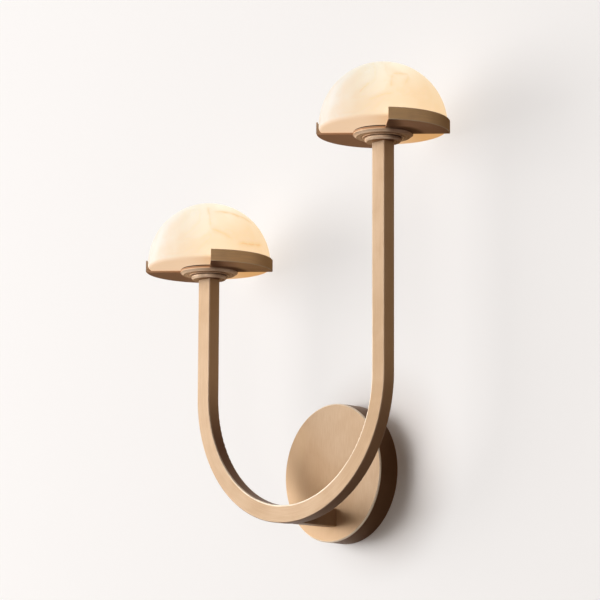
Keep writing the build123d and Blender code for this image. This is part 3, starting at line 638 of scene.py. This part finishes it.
def alabaster(side):
    """Translucent stone with clouds and veins, a painted glow for the lamp's light, darker and whiter where
    the key light falls.
    """
    colours = bpy.context.scene.wall_light_finish
    sizes = bpy.context.scene.wall_light_sizes
    spread = {"Subsurface Weight": 0.15, "Subsurface Radius": (0.012, 0.008, 0.005), "Subsurface Scale": 1.0}
    material, tree, shader, place = finish(f"{side}_alabaster", specular=0.0, sockets=spread)
    foot, radius, tall = round_box(DOME_BOX[side])
    place = vector_calc(tree, "SUBTRACT", place, foot)
    clouds = cloud(tree, place, 20.0, detail=4.0, rough=0.5, twist=0.8)
    fine = cloud(tree, place, 190.0, detail=3.0)
    vein = stone_veins(tree, place, side, Vector((0.0, 0.0, sizes.dome_skirt)))
    vein = calc(tree, "MULTIPLY", vein, ease(tree, fine, 0.25, 0.6, 0.5, 1.0))
    tone = grade(tree, ease(tree, clouds, 0.38, 0.68, 0.0, 0.5), colours.stone_pale, colours.stone_warm)
    tone = grade(tree, vein, tone, colours.stone_vein)
    parts = node(tree, "ShaderNodeSeparateXYZ", {0: place}).outputs
    x, z = parts["X"], parts["Z"]
    under = ease(tree, z, 0.3 * MILLIMETRE, 4.0 * MILLIMETRE, 0.95, 0.0)
    lean = vector_calc(tree, "DOT_PRODUCT", place, LIT_WAY / radius)
    # Painted darkening of the stone on the left, where the key light falls, and underneath
    painted_darkening = ease(tree, x, -0.1 * radius, -0.9 * radius, 0.0, 0.42)
    painted_darkening = calc(tree, "MAXIMUM", calc(tree, "MULTIPLY", under, 0.6), painted_darkening)
    tone = grade(tree, painted_darkening, tone, BLACK)
    tree.links.new(tone, shader.inputs["Base Color"])
    # Painted glow for the lamp's light through the stone, lighter towards the top
    glow = grade(tree, ease(tree, z, 0.0, tall), colours.glow_low, colours.glow_high)
    glow = grade(tree, ease(tree, clouds, 0.4, 0.7, 0.0, 0.3), glow, colours.glow_cloud)
    # Painted glow, warmer on the side away from the key light
    glow = grade(tree, ease(tree, lean, -0.8, 0.1, 0.65, 0.0), glow, colours.glow_shade_side)
    glow = grade(tree, vein, glow, colours.glow_vein)
    # Painted glow, dimmed and whiter where the key light falls
    glow = grade(tree, ease(tree, lean, -0.3, 1.0, 0.0, 0.6), glow, BLACK)
    plain = calc(tree, "MAXIMUM", vein, ease(tree, clouds, 0.4, 0.7, 0.0, 0.6))
    plain = calc(tree, "SUBTRACT", 1.0, plain)
    plain = calc(tree, "MULTIPLY", plain, ease(tree, lean, 0.46, 1.0))
    glow = grade(tree, plain, glow, colours.glow_lit)
    # Painted glow underneath, darker and warmer on the side away from the key light
    floor = grade(tree, ease(tree, lean, -0.6, 0.3), colours.glow_under_shade_side, colours.glow_under)
    glow = grade(tree, under, glow, floor)
    tree.links.new(glow, shader.inputs["Emission Color"])
    shader.inputs["Emission Strength"].default_value = colours.glow_strength
    rough_and_bump(tree, shader, fine, 0.26, 0.38, 0.03 * MILLIMETRE, 0.2)
    return material


def plated_steel():
    """Zinc-plated steel with dull patches."""
    colours = bpy.context.scene.wall_light_finish
    material, tree, shader, place = finish("plated_steel", metallic=0.85)
    patch = cloud(tree, place, 160.0, detail=4.0)
    grain = cloud(tree, place, 1300.0, detail=2.0)
    tone = grade(tree, ease(tree, patch, 0.4, 0.65), colours.steel, colours.steel_dull)
    tree.links.new(tone, shader.inputs["Base Color"])
    rough_and_bump(tree, shader, grain, 0.3, 0.5, 0.03 * MILLIMETRE)
    return material


def plain_finish(name, light, dark, low, high, scale, metallic=0.0, depth=0.04 * MILLIMETRE):
    """A finish with a fine grain between two close colours."""
    material, tree, shader, place = finish(name, metallic=metallic)
    grain = cloud(tree, place, scale, detail=3.0)
    patch = cloud(tree, place, scale / 9.0, detail=3.0)
    mixed = calc(tree, "MULTIPLY_ADD", grain, 0.5, calc(tree, "MULTIPLY", patch, 0.5))
    tree.links.new(grade(tree, ease(tree, mixed, 0.35, 0.65), light, dark), shader.inputs["Base Color"])
    rough_and_bump(tree, shader, grain, low, high, depth)
    return material


def start_profile(name, place):
    """A new object in edit mode that is one point, with its origin at the frame's origin."""
    bpy.ops.object.select_all(action="DESELECT")
    bpy.ops.mesh.primitive_plane_add(size=MILLIMETRE, location=place)
    piece = bpy.context.object
    piece.name = piece.data.name = name
    bpy.ops.object.transform_apply(location=True, rotation=True, scale=True)
    bpy.ops.object.mode_set(mode="EDIT")
    bpy.ops.mesh.select_mode(type="VERT")
    bpy.ops.mesh.select_all(action="SELECT")
    bpy.ops.mesh.merge(type="CENTER")
    return piece


def turn_profile(name, foot, profile, steps):
    """Draw a profile of radius and height point by point, and spin it about the upright line through foot."""
    points = [foot + Vector((radius, 0.0, height)) for radius, height in profile]
    piece = start_profile(name, points[0])
    for last, following in zip(points, points[1:]):
        bpy.ops.mesh.extrude_vertices_move(TRANSFORM_OT_translate={"value": following - last})
    bpy.ops.mesh.select_all(action="SELECT")
    bpy.ops.mesh.spin(steps=steps, angle=math.tau, center=foot, axis=(0.0, 0.0, 1.0))
    bpy.ops.mesh.select_all(action="SELECT")
    bpy.ops.mesh.remove_doubles(threshold=0.002 * MILLIMETRE)
    bpy.ops.mesh.normals_make_consistent(inside=False)
    bpy.ops.object.mode_set(mode="OBJECT")
    bpy.ops.object.shade_smooth_by_angle(angle=math.radians(35.0))
    return piece


def arc(centre, radius, start, end, steps):
    """Points of radius and height along an arc, in degrees from the outward direction."""
    turns = [math.radians(start + (end - start) * step / steps) for step in range(steps + 1)]
    return [(centre[0] + radius * math.cos(turn), centre[1] + radius * math.sin(turn)) for turn in turns]


def seat(piece, body, slot, *nodes):
    """Let a finished piece ride on its body and stand for its CAD nodes."""
    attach(piece, body)
    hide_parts(*nodes)


class WALLLIGHT_OT_wall_plate(bpy.types.Operator):
    """Finish the round wall plate"""

    bl_idname = "wall_light.wall_plate"
    bl_label = "Wall Plate"

    def execute(self, context):
        dress(["canopy"], satin_brass("plate_brass", plate_marks, 0.14, 0.3))
        return {"FINISHED"}


class WALLLIGHT_OT_bent_tube(bpy.types.Operator):
    """Finish the stem and the U of rectangular tube"""

    bl_idname = "wall_light.bent_tube"
    bl_label = "Stem and Bent Tube"

    def execute(self, context):
        dress(["arm_tube"], satin_brass("tube_brass", tube_marks))
        dress(["stem"], satin_brass("stem_brass", stem_marks))
        return {"FINISHED"}


class WALLLIGHT_OT_collars(bpy.types.Operator):
    """Finish the turned discs on both arms"""

    bl_idname = "wall_light.collars"
    bl_label = "Turned Discs"

    def execute(self, context):
        dress(each_side("arm_cap", "seat_disc"), turned_brass())
        return {"FINISHED"}


class WALLLIGHT_OT_trays(bpy.types.Operator):
    """Finish the trays and their rubber rings"""

    bl_idname = "wall_light.trays"
    bl_label = "Trays"

    def execute(self, context):
        dress(each_side("tray"), tray_brass())
        rubber = plain_finish("ring_rubber", (0.03, 0.024, 0.02), (0.016, 0.013, 0.011), 0.6, 0.8, 900.0)
        dress(each_side("gasket"), rubber)
        return {"FINISHED"}


# Extra points across the underside of the stone, in from its edge
FLOOR_POINTS = (12.0 * MILLIMETRE, 24.0 * MILLIMETRE)


class WALLLIGHT_OT_domes(bpy.types.Operator):
    """Turn the two alabaster domes, with the shallow waves that grinding leaves"""

    bl_idname = "wall_light.domes"
    bl_label = "Alabaster Domes"

    def execute(self, context):
        sizes = context.scene.wall_light_sizes
        waves = bpy.data.textures.new("grinding_waves", "CLOUDS")
        waves.noise_scale = sizes.grind_size
        for side in SIDES:
            foot, outer = round_box(DOME_BOX[side])[:2]
            inner = outer - sizes.dome_wall
            rise = math.degrees(math.asin((sizes.dome_floor - sizes.dome_skirt) / inner))
            mouth, bevel, edge = sizes.mouth_radius, sizes.mouth_bevel, sizes.dome_edge
            profile = arc((0.0, sizes.dome_skirt), outer, 90.0, 0.0, steps=56)
            profile += arc((outer - edge, edge), edge, 0.0, -90.0, steps=8)
            profile += [(outer - inset, 0.0) for inset in FLOOR_POINTS]
            profile += [(mouth + bevel, 0.0), (mouth, bevel)]
            profile += [(mouth, sizes.dome_floor - bevel), (mouth + bevel, sizes.dome_floor)]
            profile += arc((0.0, sizes.dome_skirt), inner, rise, 90.0, steps=40)
            stone = turn_profile(f"{side}_stone", foot, profile, sizes.dome_steps)
            grind = stone.modifiers.new("grind", "DISPLACE")
            grind.texture = waves
            grind.strength = sizes.grind_depth
            grind.mid_level = 1.0
            bpy.ops.object.modifier_apply(modifier=grind.name)
            stone.data.materials.append(alabaster(side))
            seat(stone, f"{side}_dome", "alabaster", f"{side}_dome")
        return {"FINISHED"}


# Heights on the lamps' glass: top of the neck, the curve above it on both faces, and the straight part
NECK_TOP = 0.8 * MILLIMETRE
CURVE_OUTSIDE, CURVE_INSIDE = 2.2 * MILLIMETRE, 2.4 * MILLIMETRE
STRAIGHT = 4.0 * MILLIMETRE
# How far that curve lies in from the straight part
CURVE_INSET = 0.3 * MILLIMETRE


class WALLLIGHT_OT_lamps(bpy.types.Operator):
    """Blow the lamps' glass and finish their bases, pins and holders"""

    bl_idname = "wall_light.lamps"
    bl_label = "Lamps and Holders"

    def execute(self, context):
        sizes, colours = context.scene.wall_light_sizes, context.scene.wall_light_finish
        material, tree, shader, place = finish("frosted_glass", sockets={"Transmission Weight": 0.4})
        mist = cloud(tree, place, 500.0, detail=3.0)
        tone = grade(tree, mist, (0.95, 0.9, 0.8), (0.88, 0.8, 0.66))
        tree.links.new(tone, shader.inputs["Base Color"])
        glow = grade(tree, mist, (1.0, 0.8, 0.5), (1.0, 0.7, 0.38))
        tree.links.new(glow, shader.inputs["Emission Color"])
        shader.inputs["Emission Strength"].default_value = colours.lamp_strength
        rough_and_bump(tree, shader, mist, 0.35, 0.5, 0.03 * MILLIMETRE)
        for side in SIDES:
            foot, outer, tall = round_box(LAMP_BOX[side])
            inner, tip = outer - sizes.glass_wall, tall - outer
            neck, bore = sizes.glass_neck, sizes.glass_neck - sizes.glass_wall
            profile = arc((0.0, tip), outer, 90.0, 0.0, steps=14)
            profile += [(outer, STRAIGHT), (outer - CURVE_INSET, CURVE_OUTSIDE), (neck, NECK_TOP)]
            profile += [(neck, 0.0), (bore, 0.0), (bore, NECK_TOP)]
            profile += [(inner - CURVE_INSET, CURVE_INSIDE), (inner, STRAIGHT)]
            profile += arc((0.0, tip), inner, 0.0, 90.0, steps=12)
            glass = turn_profile(f"{side}_lamp_glass", foot, profile, steps=48)
            glass.data.materials.append(material)
            seat(glass, f"{side}_lamp", "lamp_glass", f"{side}_lamp")
        ceramic = plain_finish("holder_ceramic", (0.8, 0.77, 0.7), (0.7, 0.66, 0.58), 0.5, 0.7, 700.0)
        dress(each_side("lampholder"), ceramic)
        pale = plain_finish("lamp_ceramic", (0.86, 0.84, 0.8), (0.78, 0.75, 0.7), 0.35, 0.5, 800.0)
        dress(each_side("lamp_base"), pale)
        pins = plain_finish(
            "pin_metal", (0.62, 0.6, 0.56), (0.5, 0.48, 0.45), 0.25, 0.4, 1500.0, metallic=0.9
        )
        dress(each_side("lamp_pins"), pins)
        return {"FINISHED"}


# Where the crest of each turn of the thread begins and ends, in turns
THREAD_CREST = (0.42, 0.58)


class WALLLIGHT_OT_clamps(bpy.types.Operator):
    """Cut the nipples' threads and finish the nuts, washers, strips and screws that clamp each stack"""

    bl_idname = "wall_light.clamps"
    bl_label = "Nipples and Clamps"

    def execute(self, context):
        sizes = context.scene.wall_light_sizes
        steel = plated_steel()
        for side in SIDES:
            foot, outer, tall = round_box(NIPPLE_BOX[side])
            root, pitch = outer - sizes.thread_depth, sizes.thread_pitch
            profile = [(sizes.nipple_bore, 0.0), (root, 0.0)]
            for turn in range(int(tall / pitch)):
                profile += [(outer, (turn + crest) * pitch) for crest in THREAD_CREST]
                profile += [(root, (turn + 1) * pitch)]
            profile += [(root, tall), (sizes.nipple_bore, tall), (sizes.nipple_bore, 0.0)]
            nipple = turn_profile(f"{side}_threaded_nipple", foot, profile, steps=48)
            nipple.data.materials.append(steel)
            seat(nipple, "fixture", "zinc_steel", f"{side}_nipple")
        dress(each_side("lock_washer", "lock_nut", "holder_bracket", "holder_screws"), steel)
        dress(["wall_bracket", "canopy_screws", "stem_screws", "terminal_fixings", "earth_screw"], steel)
        return {"FINISHED"}


class WALLLIGHT_OT_wiring(bpy.types.Operator):
    """Finish the terminals, the driver and the wires inside"""

    bl_idname = "wall_light.wiring"
    bl_label = "Terminals and Wires"

    def execute(self, context):
        block = plain_finish("block_plastic", (0.82, 0.8, 0.74), (0.74, 0.71, 0.64), 0.4, 0.55, 600.0)
        dress(["terminal_block"], block)
        case = plain_finish("driver_plastic", (0.8, 0.8, 0.78), (0.72, 0.72, 0.7), 0.45, 0.6, 500.0)
        dress(["lamp_driver"], case)
        coarse = 0.2 * MILLIMETRE
        foam = plain_finish("foam", (0.05, 0.05, 0.05), (0.02, 0.02, 0.02), 0.85, 0.95, 1200.0, depth=coarse)
        dress(["driver_pad"], foam)
        wire = plain_finish("wire_cover", (0.74, 0.73, 0.7), (0.66, 0.65, 0.62), 0.4, 0.55, 900.0)
        dress(["driver_wires", *each_side("lead")], wire)
        screws = plain_finish(
            "terminal_brass", (0.7, 0.52, 0.22), (0.58, 0.41, 0.16), 0.25, 0.4, 1100.0, metallic=0.9
        )
        dress(["terminal_screws"], screws)
        tinned = plain_finish(
            "tinned_copper", (0.6, 0.57, 0.52), (0.46, 0.42, 0.38), 0.3, 0.45, 900.0, metallic=0.9
        )
        dress(["earth_ring"], tinned)
        material, tree, shader, place = finish("earth_cover", roughness=0.45)
        height = node(tree, "ShaderNodeSeparateXYZ", {0: place}).outputs["Z"]
        stripe = calc(tree, "SINE", calc(tree, "MULTIPLY", height, 1800.0))
        stripe = ease(tree, stripe, -0.2, 0.2)
        tone = grade(tree, stripe, (0.08, 0.3, 0.06), (0.75, 0.62, 0.05))
        tree.links.new(tone, shader.inputs["Base Color"])
        rough_and_bump(tree, shader, cloud(tree, place, 900.0), 0.4, 0.55, 0.03 * MILLIMETRE)
        dress(["earth_wire"], material)
        return {"FINISHED"}


# Share of plain tone, which takes no shadow: on the floor, on the wall, and added far out on the wall
FLOOR_PLAIN, WALL_PLAIN, FAR_PLAIN = 0.85, 0.7, 0.28
# Where that far part of the wall begins and where it is reached, in metres
FAR_START, FAR_END = 0.5, 1.3
# How far right of the plate's middle its shadow lies, as a share of the shadow's reach
SHADOW_SHIFT = 0.7


def backdrop(name, tone, middle, turn, near=0.0):
    """A large sheet, pale in front and clear from behind, that is seen and reflected but lights nothing.

    It takes shadows fully within near of the shadow's middle, and faintly elsewhere.
    """
    stage = bpy.context.scene.wall_light_stage
    bpy.ops.object.select_all(action="DESELECT")
    bpy.ops.mesh.primitive_plane_add(size=stage.backdrop_size, location=middle, rotation=turn)
    sheet = bpy.context.object
    sheet.name = sheet.data.name = name
    material, tree, shader, place = finish(name, roughness=0.9, specular=0.1)
    shade = ease(tree, cloud(tree, place, 1.6, detail=2.0), 0.3, 0.7, 0.0, 0.06)
    tree.links.new(grade(tree, shade, tone, stage.blotch), shader.inputs["Base Color"])
    behind = node(tree, "ShaderNodeNewGeometry").outputs["Backfacing"]
    clear = node(tree, "ShaderNodeBsdfTransparent").outputs[0]
    lift = node(tree, "ShaderNodeEmission", {"Color": (*stage.pale, 1.0), "Strength": 1.0}).outputs[0]
    plain = FLOOR_PLAIN
    if near:
        away = vector_calc(tree, "DISTANCE", place, (near * SHADOW_SHIFT, 0.0, 0.0))
        plain = ease(tree, away, near, near * 2.0, 0.0, WALL_PLAIN)
        plain = calc(tree, "ADD", plain, ease(tree, away, FAR_START, FAR_END, 0.0, FAR_PLAIN))
    pale = node(tree, "ShaderNodeMixShader", {0: plain, 1: shader.outputs[0], 2: lift}).outputs[0]
    both = node(tree, "ShaderNodeMixShader", {0: behind, 1: pale, 2: clear}).outputs[0]
    tree.links.new(both, tree.nodes["Material Output"].inputs["Surface"])
    sheet.data.materials.append(material)
    sheet.visible_diffuse = False
    sheet.visible_shadow = False


class WALLLIGHT_OT_stage(bpy.types.Operator):
    """Set up the wall, the floor, the soft light and the camera"""

    bl_idname = "wall_light.stage"
    bl_label = "Stage"

    def execute(self, context):
        scene, stage = context.scene, context.scene.wall_light_stage
        middle = (0.0, stage.wall_gap, 0.0)
        backdrop("wall", stage.wall, middle, (math.pi / 2, 0.0, 0.0), stage.shadow_reach)
        middle = (0.0, stage.wall_gap - stage.backdrop_size / 2, -stage.floor_drop)
        backdrop("floor", stage.floor, middle, (0.0, 0.0, 0.0))
        world = bpy.data.worlds.new("room")
        world.use_nodes = True
        tree = world.node_tree
        ray = node(tree, "ShaderNodeLightPath").outputs
        seen = calc(tree, "MAXIMUM", ray["Is Camera Ray"], ray["Is Glossy Ray"])
        seen = calc(tree, "MAXIMUM", seen, ray["Is Transmission Ray"])
        fill = {"Color": (*stage.sky, 1.0), "Strength": stage.sky_strength}
        fill = node(tree, "ShaderNodeBackground", fill).outputs[0]
        pale = node(tree, "ShaderNodeBackground", {"Color": (*stage.pale, 1.0), "Strength": 1.0}).outputs[0]
        both = node(tree, "ShaderNodeMixShader", {0: seen, 1: fill, 2: pale}).outputs[0]
        tree.links.new(both, tree.nodes["World Output"].inputs["Surface"])
        scene.world = world
        for name in ("key", "front", "side", "back"):
            light = bpy.data.lights.new(name, "AREA")
            light.size = getattr(stage, f"{name}_size")
            light.energy = getattr(stage, f"{name}_power")
            lamp = bpy.data.objects.new(name, light)
            lamp.location = getattr(stage, f"{name}_place")
            aim = (cad_box[0] + cad_box[1]) / 2 - lamp.location
            lamp.rotation_euler = aim.to_track_quat("-Z", "Y").to_euler()
            lamp.visible_camera = False
            lamp.visible_glossy = name != "key"
            scene.collection.objects.link(lamp)
        self.place_camera(scene, stage)
        scene.view_settings.view_transform = "Standard"
        return {"FINISHED"}

    def place_camera(self, scene, stage):
        """Stand the camera where the photograph was taken from."""
        camera = bpy.data.cameras.new("camera")
        camera.lens = stage.camera_lens
        camera.clip_start, camera.clip_end = 0.05, 50.0
        eye = bpy.data.objects.new("camera", camera)
        ahead = Vector(stage.camera_way).normalized()
        right = ahead.cross(Vector((0.0, 0.0, 1.0))).normalized()
        above = right.cross(ahead)
        turn, lean = math.cos(stage.camera_roll), math.sin(stage.camera_roll)
        axes = (right * turn + above * lean, above * turn - right * lean, -ahead)
        eye.matrix_world = Matrix.Translation(stage.camera_place) @ Matrix(axes).transposed().to_4x4()
        scene.collection.objects.link(eye)
        scene.camera = eye


class WALLLIGHT_PT_pieces(bpy.types.Panel):
    """Lists the pieces of the wall light"""

    bl_label = "Wall Light"
    bl_idname = "WALLLIGHT_PT_pieces"
    bl_space_type = "VIEW_3D"
    bl_region_type = "UI"
    bl_category = "Wall Light"

    def draw(self, context):
        for kind in OPERATORS:
            self.layout.operator(kind.bl_idname)
        for name in GROUPS:
            group, box = getattr(context.scene, name), self.layout.box()
            for key in group.__annotations__:
                box.prop(group, key)


OPERATORS = (
    WALLLIGHT_OT_stage,
    WALLLIGHT_OT_wall_plate,
    WALLLIGHT_OT_bent_tube,
    WALLLIGHT_OT_collars,
    WALLLIGHT_OT_trays,
    WALLLIGHT_OT_domes,
    WALLLIGHT_OT_lamps,
    WALLLIGHT_OT_clamps,
    WALLLIGHT_OT_wiring,
)
GROUPS = {
    "wall_light_sizes": WallLightSizes,
    "wall_light_finish": WallLightFinish,
    "wall_light_stage": WallLightStage,
}


def register():
    for kind in (*GROUPS.values(), *OPERATORS, WALLLIGHT_PT_pieces):
        bpy.utils.register_class(kind)
    for name, group in GROUPS.items():
        setattr(bpy.types.Scene, name, bpy.props.PointerProperty(type=group))


def unregister():
    for name in GROUPS:
        delattr(bpy.types.Scene, name)
    for kind in reversed((*GROUPS.values(), *OPERATORS, WALLLIGHT_PT_pieces)):
        bpy.utils.unregister_class(kind)


def main():
    """Register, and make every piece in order."""
    register()
    bpy.ops.wall_light.stage()
    bpy.ops.wall_light.wall_plate()
    bpy.ops.wall_light.bent_tube()
    bpy.ops.wall_light.collars()
    bpy.ops.wall_light.trays()
    bpy.ops.wall_light.domes()
    bpy.ops.wall_light.lamps()
    bpy.ops.wall_light.clamps()
    bpy.ops.wall_light.wiring()


if __name__ == "__main__":
    main()
